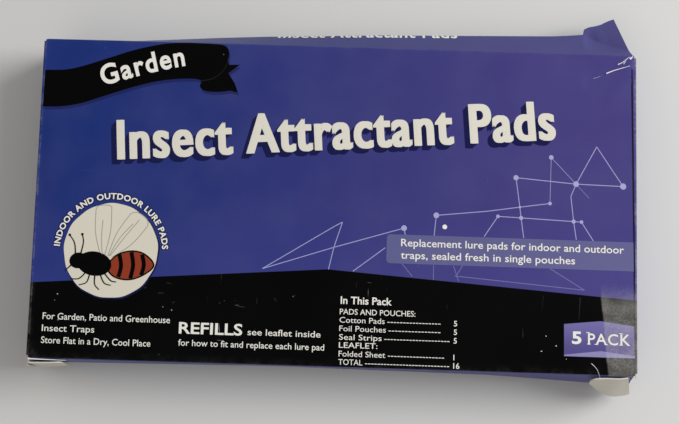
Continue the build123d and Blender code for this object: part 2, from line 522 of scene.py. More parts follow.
def sectionAt(x):
    bulge, knee = along(x, sleeve["upperBulge"]), along(x, sleeve["upperKnee"])
    lowerBulge, lowerKnee = along(x, sleeve["lowerBulge"]), along(x, sleeve["lowerKnee"])
    lowerFront, upperFront = Vector((-halfWidth, depth)), Vector((halfWidth, upperCrease(x)))
    peak = Vector((halfWidth + bulge, knee))
    plain = min(bulge, along(x, sleeve["plainBulge"]))  # the wall as it would be without the crushed corner
    ear = upperFront.lerp(Vector((halfWidth + plain, knee)), min(0.95, along(x, sleeve["earCrease"]) / plain))
    ear.y -= along(x, sleeve["earDent"])
    upperBack, lowerBack = Vector((halfWidth, 0)), Vector((-halfWidth, 0))
    belly = Vector((-halfWidth - lowerBulge, lowerKnee))
    radius = carton["creaseRadius"]
    peakRadius = blendNumber(sleeve["upperKneeRadius"], 0.7, smoothStep(90, 97, x))
    one = bend(belly, lowerFront, upperFront, radius)
    two = bend(lowerFront, upperFront, ear, radius)
    three = bend(upperFront, ear, peak, 0.8, 2)
    four = bend(ear, peak, upperBack, peakRadius)
    five = bend(peak, upperBack, lowerBack, radius)
    six = bend(upperBack, lowerBack, belly, radius)
    seven = bend(lowerBack, belly, lowerFront, sleeve["lowerKneeRadius"])
    half = len(one) // 2
    return {
        "front": one[half:] + between(one[-1], two[0], 46) + two[:half + 1],
        "upper": [*two[half:], *between(two[-1], three[0], 4), *three, *between(three[-1], four[0], 4), *four,
                  *between(four[-1], five[0], 7), *five[:half + 1]],
        "back": five[half:] + between(five[-1], six[0], 30) + six[:half + 1],
        "lower": [*six[half:], *between(six[-1], seven[0], 5), *seven, *between(seven[-1], one[0], 5),
                  *one[:half + 1]],
    }


def stationList(end):
    fine = [0, 0.6, 1.6, 3.0, 5.0]
    start = sleeve["earStart"]
    middle = spread(-end + 7, start - 3, int((end + start) / sleeve["cell"]))
    ear = [start - 1.2, start, start + 0.5, start + 1.0, *spread(start + 2.6, end - 5.0, 6)]
    return [f - end for f in fine] + middle + ear + [end - f for f in reversed(fine[:-1])]


def gridPiece(name, rows, flip=False):  # a grid whose points are then put in place, row by row
    rows = rows[::-1] if flip else rows
    countX, countY = len(rows) - 1, len(rows[0]) - 1
    deselectAll()
    bpy.ops.mesh.primitive_grid_add(x_subdivisions=countX, y_subdivisions=countY, size=2)
    piece = newPiece(name)
    for vertex in piece.data.vertices:
        i, j = round((vertex.co.x + 1) / 2 * countX), round((vertex.co.y + 1) / 2 * countY)
        vertex.co = Vector(rows[i][j])
    return piece


def markWear(piece, amount):  # amount takes a point in millimetres
    layer = piece.data.attributes.new("edgeWear", "FLOAT", "POINT")
    for vertex, value in zip(piece.data.vertices, layer.data):
        value.value = amount(*vertex.co)


def makeBoard(piece, printed, thickness=board):  # thickness, a bare inside and cut edges for a printed sheet
    pick(piece)
    piece.data.materials.append(finish[printed])
    piece.data.materials.append(finish["bare"])
    toMetres(piece)
    applyModifier(piece, "SOLIDIFY", thickness=thickness * mm, offset=-1, use_even_offset=False,
                  material_offset=1, material_offset_rim=1)
    smooth(piece, 50)


def nearCrease(x, y, z):  # how much a point of the sleeve is rubbed: creases and ends
    upper = max(0.0, 1 - math.hypot(y - halfWidth, z - upperCrease(x)) / 1.2)
    lower = max(0.0, 1 - math.hypot(y + halfWidth, z - depth) / 1.2)
    base = max(0.0, 1 - math.hypot(abs(y) - halfWidth, z) / 1.5)
    end = max(0.0, 1 - (halfLength - abs(x)) / 0.8)
    corner = max(0.0, 1 - math.hypot(abs(x) - halfLength, y + halfWidth) / 5)
    return min(1.0, 0.03 * upper + 0.05 * lower + 0.4 * base + 0.07 * end + 0.08 * corner)


def makeSleeve():
    parts = {"front": ("front_panel_board", "front_panel", "front", halfLength),
             "back": ("back_panel_board", "back_panel", "side", halfLength),
             "upper": ("upper_side_board", "upper_side_panel", "side", carton["wallEnd"]),
             "lower": ("lower_side_board", "lower_side_panel", "side", carton["wallEnd"])}
    for part, (name, cadNode, printed, end) in parts.items():
        rows = []
        for x in stationList(end):
            points = sectionAt(x)[part]
            lean = sleeve["earLean"] * smoothStep(sleeve["earStart"], halfLength, x) if part == "upper" else 0
            reach = along(x, sleeve["upperBulge"])
            row = []
            for y, z in points:
                lift = frontWave(x, y) if part == "front" else 0
                row.append((x - lean * max(0, y - halfWidth) / reach, y, z + lift))
            rows.append(row)
        if part == "upper":
            rows += closeTheEar(rows[-1])
        piece = gridPiece(name, rows)
        markWear(piece, nearCrease)
        makeBoard(piece, printed)
        finishPiece(piece, "carton", "printed_board", cadNode)
    print("sleeve folded")


def closeTheEar(edge):  # the crushed end of the upper side is drawn in to the dust flap's crease
    crease = {"x": 113.9, "y": 61.75}
    rows = []
    for share in (0.04, 0.35, 0.7, 1.0):
        pinch = share ** 1.3
        rows.append([(blendNumber(x, crease["x"], pinch) + 0.5 * math.sin(math.pi * share),
                      blendNumber(y, crease["y"], share), z) for x, y, z in edge])
    return rows


buildStudio()
makeSleeve()


closureLow, closureHigh = boxOf("right_closure_panel")
closure = {
    "halfWidth": closureHigh.y,
    "face": closureHigh.x,
    "foot": closureLow.z,
    "gap": 0.25,  # from the front panel down to the closure's top edge
    "belly": 0.28,
    "tongueStart": (114.47, 0.96),  # x and z where the tongue begins
    "tongueReach": 14.7,
    "tongueLift": 22,
    "tongueHalfWidth": 57.0,
    "tongueCorner": 8.0,
    "strip": 0.15,  # thickness of a crease strip
    # x and rise above the front panel, from the panel round to the closure
    "frontCrease": [(114.35, 0.01), (114.6, 0.02), (114.85, 0.0), (115.05, -0.05), (115.22, -0.14),
                    (115.33, -0.27), (115.37, -0.5)],
    # x and z, from the closure round to the tongue
    "tongueCrease": [(115.37, 1.25), (115.33, 0.9), (115.18, 0.66), (114.95, 0.55), (114.7, 0.56),
                     (114.45, 0.68), (114.28, 0.80)],
}


def cornerInset(place, end, radius):  # how far a rounded corner has drawn in the side at this place
    over = max(0.0, place - (end - radius))
    return radius - math.sqrt(max(0.0, radius * radius - over * over))


def makeClosure(name, side):
    face, foot = closure["face"], closure["foot"]
    rows = []
    for share in [0, 0.012, 0.03, *spread(0.07, 0.93, 9), 0.97, 0.988, 1]:
        row = []
        for y in spread(-closure["halfWidth"], closure["halfWidth"], 48):
            top = frontHeight(side * halfLength, y) - closure["gap"]
            z = blendNumber(foot, top, share)
            middle = math.sin(math.pi * share)
            swell = closure["belly"] * (middle * math.cos(math.pi * y / 124) - 0.3) * middle
            ripple = 0.06 * math.sin(y / 11 + side) * middle
            inset = 0.5 * max(0, abs(y) / closure["halfWidth"] - 0.985) / 0.015 * (1 - share)
            row.append((side * (face + swell + ripple), y - math.copysign(inset, y), z))
        rows.append(row)
    panel = gridPiece(name + "_closure_board", rows, flip=side > 0)
    markWear(panel, lambda x, y, z: min(1.0, 1.1 * max(0, 1 - (frontHeight(side * halfLength, y) - z) / 1.6)
                                        + 0.7 * max(0, 1 - (z - foot) / 1.4)
                                        + 0.8 * max(0, 1 - (closure["halfWidth"] - abs(y)) / 1.6)))
    makeBoard(panel, "side")
    finishPiece(panel, name + "_closure", "printed_board", name + "_closure_panel")


def makeTongue(name, side):
    lift, end = math.radians(closure["tongueLift"]), closure["tongueReach"]
    startX, startZ = closure["tongueStart"]
    rows = []
    for reach in [0, 0.3, 0.9, *spread(1.8, end - 1.6, 9), end - 0.9, end - 0.35, end]:
        half = closure["tongueHalfWidth"] - cornerInset(reach, end, closure["tongueCorner"])
        arch = 0.22 * math.sin(math.pi * reach / end)
        x = startX - reach * math.cos(lift) - board / 2 * math.sin(lift)
        z = startZ + reach * math.sin(lift) - board / 2 * math.cos(lift) + arch
        rows.append([(side * x, y, z) for y in spread(-half, half, 44)])
    tongue = gridPiece(name + "_tongue_board", rows, flip=side < 0)
    markWear(tongue, lambda x, y, z: 0.8 * max(0, 1 - (z - closure["foot"]) / 1.0))
    makeBoard(tongue, "side")
    finishPiece(tongue, name + "_tongue", "printed_board", name + "_tuck_tongue")


def makeStrip(name, rows, flip):  # a thin printed crease that bends between two boards
    strip = gridPiece(name, rows, flip)
    markWear(strip, lambda x, y, z: 0.22)
    makeBoard(strip, "front" if "front" in name else "side", closure["strip"])
    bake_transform(strip)


def makeClosureStrips(name, side):
    reach = closure["halfWidth"]
    rows = [[(side * x, y, frontHeight(side * halfLength, y) + rise) for y in spread(-reach, reach, 48)]
            for x, rise in closure["frontCrease"]]
    makeStrip(name + "_front_crease", rows, side < 0)
    reach = closure["tongueHalfWidth"]
    rows = [[(side * x, y, z) for y in spread(-reach, reach, 40)] for x, z in closure["tongueCrease"]]
    makeStrip(name + "_tongue_crease", rows, side < 0)


glueFlap = {"slant": 8.0, "lift": 0.02}  # the slant of its two ends, and how far it stands off the back panel


def makeGlueFlap():
    low, high = boxOf("glue_flap")
    rows = []
    for across in [0, 0.02, *spread(0.08, 0.92, 6), 0.98, 1]:
        half = high.x - glueFlap["slant"] * across
        y = blendNumber(low.y + 0.1, high.y, across)
        rows.append([(x, y, low.z + board + glueFlap["lift"]) for x in spread(-half, half, 60)])
    flap = gridPiece("glue_flap_board", rows, flip=True)
    markWear(flap, lambda x, y, z: 0.0)
    makeBoard(flap, "bare")
    finishPiece(flap, "carton", "bare_board", "glue_flap")


for sideName, side in (("left", -1), ("right", 1)):
    makeClosure(sideName, side)
    makeTongue(sideName, side)
    makeClosureStrips(sideName, side)
makeGlueFlap()
print("closures and glue flap made")


# Distance out and height of the leaning crease's two ends, and the flap's angle off the wall.
leanFlap = {"foot": (67.3, 6.5), "head": (63.2, 24.4), "splay": 6}
leanOut, leanFoot = leanFlap["foot"]
leanFold = Vector((0, leanOut - leanFlap["head"][0], leanFlap["head"][1] - leanFoot))
leanUp = leanFold.normalized()
leanAlong = Matrix.Rotation(math.radians(leanFlap["splay"]), 3, leanUp) @ Vector((-1, 0, 0))
leftSplay = math.radians(5)
flaps = {
    "upper_left": {"foot": (-113.4, 61.2, 4.2), "length": 20.9},
    "upper_right": {"foot": (113.4, 61.2, 4.2), "length": 15.9, "flip": True},
    "lower_left": {"foot": (-114.9, -64.2, 3.0), "length": 21.5, "flip": True, "offset": 0.3, "curl": 1.7,
                   "along": (math.cos(leftSplay), -math.sin(leftSplay), 0), "reach": 12.8, "lean": 1.0},
    "lower_right": {"foot": (114.9, -leanOut, leanFoot), "length": leanFold.length, "offset": -0.3,
                    "curl": -0.9, "along": leanAlong, "up": leanUp, "lean": 1.0, "taper": 13.5, "curve": 1.6,
                    "round": 0.3, "shear": 1.2, "headIn": 2.6, "swell": 1.9, "wave": 0.34},
}
plainFlap = {
    "along": (0, -1, 0),  # from the crease towards the tip
    "up": (0, 0, 1),  # along the crease
    "start": 0.3,
    "reach": 17.0,
    "corner": 2.5,
    "flip": False,
    "offset": 0.0,  # of the printed face from the crease
    "curl": 0.0,  # how far the tip curls back to the wall
    "taper": 5.8,  # how far the lower edge rises towards the tip, and how much it curves
    "curve": 1,
    "round": 1,  # how round the lower corner is
    "lean": 0.0,  # the upper edge tips towards the wall
    "shear": 0.0,  # how far the foot slides outward
    "headIn": 0.0,  # how far the head is pushed in along the wall
    "swell": 0.0,  # how far the middle stands out
    "wave": 0.10,
}


def makeFlap(name, shape):
    origin, across, up = Vector(shape["foot"]), Vector(shape["along"]), Vector(shape["up"])
    normal = across.cross(up)
    start, reach, length, shear = shape["start"], shape["reach"], shape["length"], shape["shear"]
    fineEnd = [reach - step for step in (1.6, 0.9, 0.4, 0.12, 0)]
    rows = []
    for u in [start, 0.7, 1.3, *spread(2.4, reach - 2.5, 8), *fineEnd]:
        inset = cornerInset(u, reach, shape["corner"])
        share = (u - start) / (reach - start)
        low = shape["taper"] * share ** shape["curve"] + inset * shape["round"]
        bow = shape["curl"] * share ** 1.5
        row = []
        for v in spread(low, length - inset, 18):
            wave = shape["wave"] * math.sin(u / 2.7 + v / 5.0) * smoothStep(0.5, 4, u)
            lean = shape["lean"] * (v / length) ** 2
            foot = 1 - v / length
            slideX = shear * foot * (1 - 0.5 * share) - shape["headIn"] * (1 - foot) * (1 - share)
            slideY = 1.1 * lean - shear * 0.5 * foot - shape["swell"] * math.sin(math.pi * share) * foot
            slide = Vector((slideX, slideY, 0.8 * lean))
            row.append(origin + across * u + up * v + slide + normal * (shape["offset"] + wave * 0.5 - bow))
        rows.append(row)
    flap = gridPiece(name + "_flap_board", rows, shape["flip"])

    def tipWear(x, y, z):
        return 0.75 * max(0.0, 1 - (reach - (Vector((x, y, z)) - origin).dot(across)) / 1.2)

    markWear(flap, tipWear)
    makeBoard(flap, "side")
    finishPiece(flap, name + "_flap", "printed_board", name + "_dust_flap")


def wallEdge(x, z, side):  # the side wall's outer face at the end of the wall
    table = ("upperBulge", "upperKnee") if side > 0 else ("lowerBulge", "lowerKnee")
    bulge, knee = along(x, sleeve[table[0]]), along(x, sleeve[table[1]])
    top = upperCrease(x) if side > 0 else depth
    share = z / knee if z < knee else (top - z) / (top - knee)
    return side * (halfWidth + bulge * max(0.0, min(1.0, share)))


def makeFlapStrips():
    # Each strip starts at the wall's end and turns round to the flap.
    # A profile gives the x and then the y of its six lines.
    def upperLeft(z):
        wall = wallEdge(-114, z, 1)
        return ((-113.9, -114.05, -114.0, -113.75, -113.45, -113.4),
                (wall - 0.05, wall - 0.15, 61.75, 61.3, 61.0, 60.7))

    def upperRight(z):
        return (113.75, 113.9, 113.85, 113.7, 113.45, 113.4), (61.85, 61.7, 61.5, 61.2, 61.0, 60.7)

    def lowerLeft(z):
        wall = wallEdge(-114, z, -1)
        turn = [blendNumber(wall, -63.9, share) for share in (0.3, 0.8)]
        return (-113.9, -114.5, -115.1, -115.25, -115.0, -114.5), (wall - 0.05, *turn, -64.35, -64.8, -64.95)

    def lowerRight(z):
        wall = wallEdge(114, z, -1)
        up = (z - leanFoot) / leanFold.z
        crease = -leanOut + leanFold.y * up - 0.6 * (1 - up) + 0.8 * up ** 2
        inward = flaps["lower_right"]["headIn"] * up
        places = ((113.9, 0), (114.5, 0.3), (115.0, 0.8), (115.2, 1), (115.0, 1), (114.5, 1))
        xs = [x - share * inward for x, share in places]
        return xs, (wall - 0.05, blendNumber(wall, crease, 0.35), crease + 0.25, crease - 0.2, crease - 0.62,
                    crease - 0.75)

    leanMiddle = leanFold.y / 2 - leanOut
    strips = {  # profile, lowest and highest point, flip, start and end of the bend
        "upper_left": (upperLeft, 4.4, 24.9, True, (-113.4, 61.8, 10), (-113.4, 61.0, 10)),
        "upper_right": (upperRight, 4.4, 19.9, False, (113.4, 61.8, 10), (113.4, 61.0, 10)),
        "lower_left": (lowerLeft, 3.1, 24.4, False, (-114.9, -63.9, 10), (-114.9, -64.6, 10)),
        "lower_right": (lowerRight, 6.6, 24.2, True, (114.9, leanMiddle + 0.4, 15.5),
                        (114.9, leanMiddle - 0.2, 15.36)),
    }
    for name, (profile, low, high, flip, start, end) in strips.items():
        columns = [[(x, y, z) for x, y in zip(*profile(z))] for z in spread(low, high, 16)]
        rows = [list(row) for row in zip(*columns)]
        makeStrip(name + "_flap_crease", rows, flip)


for flapName, ownShape in flaps.items():
    makeFlap(flapName, {**plainFlap, **ownShape})
makeFlapStrips()
print("dust flaps made")


# How far each layer rises, the ink's thickness, and the grid that lets it follow the board.
ink = {"layer": 0.035, "film": 0.03, "cell": 5.0}


def joinPieces(name, pieces):
    deselectAll()
    for piece in pieces:
        piece.select_set(True)
    bpy.context.view_layer.objects.active = pieces[0]
    if len(pieces) > 1:
        bpy.ops.object.join()
    pieces[0].name = name
    pieces[0].data.name = name
    return pieces[0]


def sliceUp(piece, cell):  # cuts a flat piece along a square grid, so that it can follow the board
    pick(piece)
    xs = [v.co.x for v in piece.data.vertices]
    ys = [v.co.y for v in piece.data.vertices]
    bpy.ops.object.mode_set(mode="EDIT")
    bpy.ops.mesh.select_all(action="SELECT")
    bpy.ops.mesh.quads_convert_to_tris()
    for axis, low, high in ((0, min(xs), max(xs)), (1, min(ys), max(ys))):
        place = (math.floor(low / cell) + 1) * cell
        while place < high:
            point, normal = Vector(), Vector()
            point[axis], normal[axis] = place, 1
            bpy.ops.mesh.select_all(action="SELECT")
            bpy.ops.mesh.bisect(plane_co=point, plane_no=normal)
            place += cell
    bpy.ops.object.mode_set(mode="OBJECT")


def layOnFront(x, y, up):  # the print sits a little off true on the board; bleeds stop at its ends
    placedX = 1.0011 * x - 0.0010 * y + 0.08 - 0.00007 * x * y
    placedY = -0.0044 * x + 1.0099 * y - 0.48
    placedX = min(halfLength - 0.05, max(0.05 - halfLength, placedX))
    return (placedX, placedY, frontHeight(placedX, placedY) + up)


def layInk(name, pieces, color, layer, surface=layOnFront, cell=ink["cell"]):
    sheet = joinPieces(name, pieces)
    sliceUp(sheet, cell)
    moveVertices(sheet, lambda p: surface(p.x, p.y, layer * ink["layer"] + p.z))
    sheet.data.materials.clear()
    sheet.data.materials.append(finish[color])
    toMetres(sheet)
    applyModifier(sheet, "SOLIDIFY", thickness=ink["film"] * mm, offset=-1)
    smooth(sheet, 30)
    finishPiece(sheet, "carton", "printed_board")


def drawn(points, width, taper=0.0):  # a smooth line through the points, as a flat shape
    return filled(stroke(curveThrough(points), width, taper))


def disc(center, radius, count):
    return filled(ellipse(center, (radius, radius), 0, count))


def filled(points):
    deselectAll()
    bpy.ops.mesh.primitive_circle_add(vertices=len(points), radius=1, fill_type="NGON")
    piece = newPiece("shape")
    for vertex, point in zip(piece.data.vertices, points):
        vertex.co = Vector((*point, 0))
    area = sum(a[0] * b[1] - b[0] * a[1] for a, b in zip(points, points[1:] + points[:1]))
    if (piece.data.polygons[0].normal.z < 0) != (area < 0):
        piece.data.flip_normals()
    if area < 0:
        piece.data.flip_normals()
    return piece


def ellipse(center, radii, turn, count=40, wobble=0.0):
    angle = math.radians(turn)
    points = []
    for i in range(count):
        t = 2 * math.pi * i / count
        grow = 1 + wobble * math.sin(9 * t) * math.sin(4 * t + 1)
        a, b = radii[0] * math.cos(t) * grow, radii[1] * math.sin(t) * grow
        points.append((center[0] + a * math.cos(angle) - b * math.sin(angle),
                       center[1] + a * math.sin(angle) + b * math.cos(angle)))
    return points


def curveThrough(points, steps=6):  # a smooth line through the points
    ends = [points[0], *points, points[-1]]
    line = []
    for a, b, c, d in zip(ends, ends[1:], ends[2:], ends[3:]):
        a, b, c, d = (Vector(p) for p in (a, b, c, d))
        for t in spread(0, 1, steps)[:-1]:
            line.append(tuple(0.5 * (2 * b + (c - a) * t + (2 * a - 5 * b + 4 * c - d) * t ** 2
                                     + (3 * b - a - 3 * c + d) * t ** 3)))
    return line + [tuple(points[-1])]


def stroke(points, width, taper=0.0):  # the outline of a line of that width
    left, right = [], []
    for i, point in enumerate(points):
        before, after = Vector(points[max(0, i - 1)]), Vector(points[min(len(points) - 1, i + 1)])
        side = (after - before).orthogonal().normalized() * width / 2 * (1 - taper * i / (len(points) - 1))
        left.append(tuple(Vector(point) + side))
        right.append(tuple(Vector(point) - side))
    return right + left[::-1]


def straight(start, end):  # a baseline; share runs along it and up is measured square to it
    start, end = Vector(start), Vector(end)
    rise = (end - start).orthogonal().normalized()
    return lambda share, up: tuple(start.lerp(end, share) + rise * up)


def arched(start, middle, end):
    start, middle, end = Vector(start), Vector(middle), Vector(end)

    def path(share, up):
        place = start * (1 - share) ** 2 + middle * 2 * share * (1 - share) + end * share ** 2
        heading = (middle - start) * (1 - share) + (end - middle) * share
        return tuple(place + heading.orthogonal().normalized() * up)
    return path


def ringed(center, radius, startAngle, endAngle):
    def path(share, up):
        angle = math.radians(blendNumber(startAngle, endAngle, share))
        return (center[0] + (radius + up) * math.cos(angle), center[1] + (radius + up) * math.sin(angle))
    return path


def lettering(words, capHeight, path, bold, spacing=1.0, shift=(0, 0, 0), natural=False):
    deselectAll()
    bpy.ops.object.text_add()
    letters = bpy.context.object
    letters.data.body = words
    letters.data.offset = bold
    letters.data.space_character = spacing
    letters.data.resolution_u = 6 if capHeight > 6 else 3
    bpy.ops.object.convert(target="MESH")
    letters = bpy.context.object
    xs = [v.co.x for v in letters.data.vertices]
    low, high = min(xs), max(xs)
    scale = capHeight / (0.729 + 2 * bold)
    unit = scale if natural else 1 / (high - low)  # natural keeps the letters' own widths
    for vertex in letters.data.vertices:
        x, y = path((vertex.co.x - low) * unit, (vertex.co.y + bold) * scale)
        vertex.co = Vector((x + shift[0], y + shift[1], shift[2]))
    return letters


ribbon = {
    "top": [(-114.6, 49), (-107, 49.3), (-100, 51), (-90, 54.5), (-80, 58), (-70, 60.5), (-62, 61.4),
            (-50, 61.4), (-45, 60.8), (-43.3, 58.5), (-43.5, 55), (-43, 53.3)],
    "tail": [(-38.8, 53.5), (-43.2, 50), (-40.5, 46), (-39.2, 42.5)],
    "bottom": [(-42, 43.2), (-47, 42.5), (-52, 42.8), (-54, 44.5), (-53.8, 46.9), (-60, 47.3), (-70, 46),
               (-80, 43.3), (-90, 39.8), (-100, 36.3), (-108, 34.8), (-114.6, 34.6)],
    "fold": [(-53.8, 46.6), (-50, 47.4), (-46.5, 49.5), (-44.2, 52.6), (-43.6, 55.5)],
}


def printRibbon():
    outline = curveThrough(ribbon["top"], 4) + ribbon["tail"] + curveThrough(ribbon["bottom"], 4)
    shadow = [(max(-114.6, x + 0.5), y - 1.1) for x, y in outline]
    layInk("ribbon_shadow_ink", [filled(shadow)], "shadow", 1)
    layInk("ribbon_ink", [filled(outline)], "black", 2)
    layInk("ribbon_fold_ink", [drawn(ribbon["fold"], 0.45, 0.6)], "darkLineAndShade", 3)
    word = lettering("Garden", 8.6, arched((-91.5, 43.3), (-75.5, 49.0), (-60.0, 52.3)), 0.025, 1.15)
    layInk("ribbon_word_ink", [word], "white", 3)


def printTitle():
    line = straight((-84, 15), (84, 28.3))
    words, heavy = "Insect Attractant Pads", 0.012
    shadow = [(-2.0 * s + side * 0.5, -2.1 * s) for s in (1.0, 0.75, 0.5, 0.25) for side in (-1, 1)]
    thicken = [(a, b) for a in (-0.5, 0.0, 0.5) for b in (-0.12, 0.12)]
    coats = (("title_shadow_ink", shadow, "navy", 1), ("title_ink", thicken, "title", 3))
    for name, places, color, layer in coats:
        steps = [(x, y, 0.006 * i) for i, (x, y) in enumerate(places)]
        layInk(name, [lettering(words, 16.1, line, heavy, 1.10, step) for step in steps], color, layer)


badge = {
    "center": (-85, -20),
    "radius": 18.0,
    "words": "INDOOR AND OUTDOOR LURE PADS",
    "veins": [  # tip, base and sway of each wing vein
        ((-91.5, -4.5), (-89.0, -21.5), 1.0), ((-85.5, -3.4), (-87.2, -21.8), -0.9),
        ((-88.6, -8.5), (-88.2, -21.5), 0.4), ((-78.0, -5.6), (-86.0, -22.0), 1.1),
        ((-71.4, -10.4), (-84.4, -22.6), -1.2), ((-74.6, -8.0), (-85.2, -22.2), 0.2),
        ((-77.0, -9.6), (-85.6, -22.2), 0.8)],
    "wingTips": [[(-91.5, -4.5), (-90.6, -3.2), (-88.4, -2.8), (-86.4, -2.9), (-85.5, -3.4)],
                 [(-78.0, -5.6), (-75.6, -5.2), (-73.0, -6.6), (-71.4, -8.4), (-71.4, -10.4)]],
    "abdomen": [(-85.5, -24.6), (-82, -21.4), (-77, -20.0), (-72, -21.0), (-68.2, -25.0), (-71.5, -28.6),
                (-77, -30.8), (-82.5, -30.2), (-85.6, -27.6), (-85.5, -24.6)],
    "stripes": [(-81.6, -21.4, -30.0), (-77.0, -20.4, -30.4), (-72.9, -21.2, -29.0)],  # x, top, foot
    "legs": [[(-94, -28.5), (-96.5, -31.0), (-99.6, -31.2)], [(-92.5, -29.2), (-93.6, -32.4), (-96.4, -33.4)],
             [(-90.5, -29.4), (-90.4, -33.0), (-88.6, -35.0)],
             [(-88.5, -29.2), (-86.8, -32.4), (-84.2, -33.2)],
             [(-87, -28.6), (-84.4, -31.4), (-82.2, -31.9)]],
    "feelers": [[(-98.4, -21.8), (-99.0, -17.6), (-101.0, -14.6)],
                [(-96.4, -21.6), (-95.6, -17.2), (-96.2, -14.2)]],
}


def printBadge():
    center, radius = badge["center"], badge["radius"]
    rim = ellipse((center[0] + 0.25, center[1] - 0.3), (radius + 0.35, radius + 0.35), 0, 120, 0.016)
    layInk("badge_rim_ink", [filled(rim)], "navy", 1)
    layInk("badge_disc_ink", [filled(ellipse(center, (radius, radius), 0, 120, 0.010))], "cream", 2)
    words = badge["words"]
    arc = ringed(center, 19.6, 177, 3)
    glow = [(0.4 * math.cos(a), 0.4 * math.sin(a), 0.003 * a) for a in spread(0, 2 * math.pi, 6)[:-1]]
    shades = [lettering(words, 2.5, arc, 0.035, 1.1, step) for step in glow]
    layInk("badge_words_shadow_ink", shades, "navy", 1)
    layInk("badge_words_ink", [lettering(words, 2.5, arc, 0.03, 1.1)], "white", 2)
    veins = []
    for tip, base, sway in badge["veins"]:
        run = Vector(tip) - Vector(base)
        middle = Vector(base) + run / 2 + run.orthogonal().normalized() * sway
        veins.append(drawn([base, tuple(middle), tip], 0.28))
    for tips in badge["wingTips"]:
        veins.append(drawn(tips, 0.28))
    layInk("insect_wing_ink", veins, "grey", 3)
    body = curveThrough(badge["abdomen"])
    thorax = filled(ellipse((-91, -25.2), (6.6, 4.6), -8))
    head = filled(ellipse((-97.2, -24.2), (3.4, 3.0), 10))
    layInk("insect_abdomen_rim_ink", [filled(stroke(body, 0.55)), thorax, head], "black", 4)
    layInk("insect_abdomen_ink", [filled(body[:-1])], "rust", 3)
    stripes = [drawn([(x, top), (x + 0.9, (top + low) / 2), (x + 0.1, low)], 1.5)
               for x, top, low in badge["stripes"]]
    lines = [drawn(leg, 0.5, 0.3) for leg in badge["legs"] + badge["feelers"]]
    beak = filled(stroke([(-99.4, -25.6), (-102.0, -28.2)], 0.6, 0.5))
    knobs = [disc(feeler[-1], 0.5, 12) for feeler in badge["feelers"]]
    layInk("insect_stripe_ink", stripes + lines + knobs + [beak], "black", 5)


bar = {
    "left": 20.0,
    "top": -10.3,
    "foot": -21.3,
    "corner": 1.5,
    "lines": [("Replacement lure pads for indoor and outdoor", -14.7, 110),
              ("traps, sealed fresh in single pouches", -19.4, 91.5)],
}


def printBar():
    left, top, foot, corner = bar["left"], bar["top"], bar["foot"], bar["corner"]
    points = [(114.55, foot), (114.55, top)]
    for cx, cy, start in ((left + corner, top - corner, 90), (left + corner, foot + corner, 180)):
        points += [(cx + corner * math.cos(math.radians(a)), cy + corner * math.sin(math.radians(a)))
                   for a in spread(start, start + 90, 5)]
    layInk("text_bar_ink", [filled(points)], "veil", 2)
    lines = [lettering(words, 3.0, straight((25.5, y), (end, y)), 0.008) for words, y, end in bar["lines"]]
    layInk("text_bar_words_ink", lines, "white", 3)


plate = {
    "left": 87.3,
    "right": 114.5,
    "foot": -53.8,
    "top": [(114.5, -42.0), (101, -40.4), (87.3, -41.9)],
    "edge": [(114.5, -53.0), (101, -51.5), (87.3, -53.3)],
    "baseline": -49.2,
    "serifs": [(96.5, -49.2), (96.2, -44.95), (99.3, -49.2), (103.0, -49.2), (108.5, -49.2), (108.5, -44.95)],
}


def printPlate():
    base, y = [(plate["left"], plate["foot"]), (plate["right"], plate["foot"])], plate["baseline"]
    layInk("plate_ink", [filled(base + plate["top"])], "plate", 1)
    layInk("plate_edge_ink", [filled(base + plate["edge"])], "plateLow", 2)
    layInk("plate_words_ink", [lettering("5", 5.0, straight((90.2, y), (93.8, y)), 0.03),
                               lettering("PACK", 4.4, straight((96.2, y), (112, y)), 0.012, 1.1)], "white", 3)
    bars = [filled(stroke([(x - 0.65, y + 0.15), (x + 0.65, y + 0.15)], 0.32)) for x, y in plate["serifs"]]
    layInk("plate_serif_ink", bars, "white", 4)


def printPanelText():
    values = []
    lines = [  # words, cap height, start of the baseline, end of the baseline, boldness
        ("For Garden, Patio and Greenhouse", 2.6, (-109.5, -46.7), (-61, -46.7), 0.004),
        ("Insect Traps", 2.6, (-109.5, -51.2), (-89.5, -51.2), 0.004),
        ("Store Flat in a Dry, Cool Place", 2.6, (-109.5, -55.7), (-68, -55.7), 0.004),
        ("REFILLS", 4.6, (-57.5, -50.4), (-33.5, -50.4), 0.02),
        ("see leaflet inside", 2.5, (-31.5, -50.1), (-4, -50.1), 0.004),
        ("for how to fit and replace each lure pad", 2.5, (-57.5, -54.9), (-2.5, -54.9), 0.004),
        ("In This Pack", 3.0, (3.2, -37.2), (22.5, -37.2), 0.018),
        ("PADS AND POUCHES:", 2.2, (3, -41.1), (31.5, -41.1), 0.004),
        ("LEAFLET:", 2.2, (3, -53.6), (17.5, -53.6), 0.004),
    ]
    for name, width, y, value, start, end in (
            ("Cotton Pads", 17, -44.2, "5", 41.0, 46.0), ("Foil Pouches", 17.5, -47.4, "5", 41.0, 46.0),
            ("Seal Strips", 16, -50.6, "5", 44.5, 46.0), ("Folded Sheet", 17.5, -56.8, "1", 42.5, 46.0),
            ("TOTAL", 9, -59.9, "16", 44.5, 46.0)):
        lines.append((name, 2.2, (3, y), (3 + width, y), 0.0))
        lines.append(("-" * int((start - 5 - width) / 1.1), 2.2, (4 + width, y), (start, y), 0.0))
        values.append(lettering(value, 2.2, straight((end, y), (end + 1, y)), 0.01, natural=True))
    layInk("panel_text_ink", values + [lettering(words, cap, straight(start, end), bold)
                                       for words, cap, start, end, bold in lines], "white", 2)


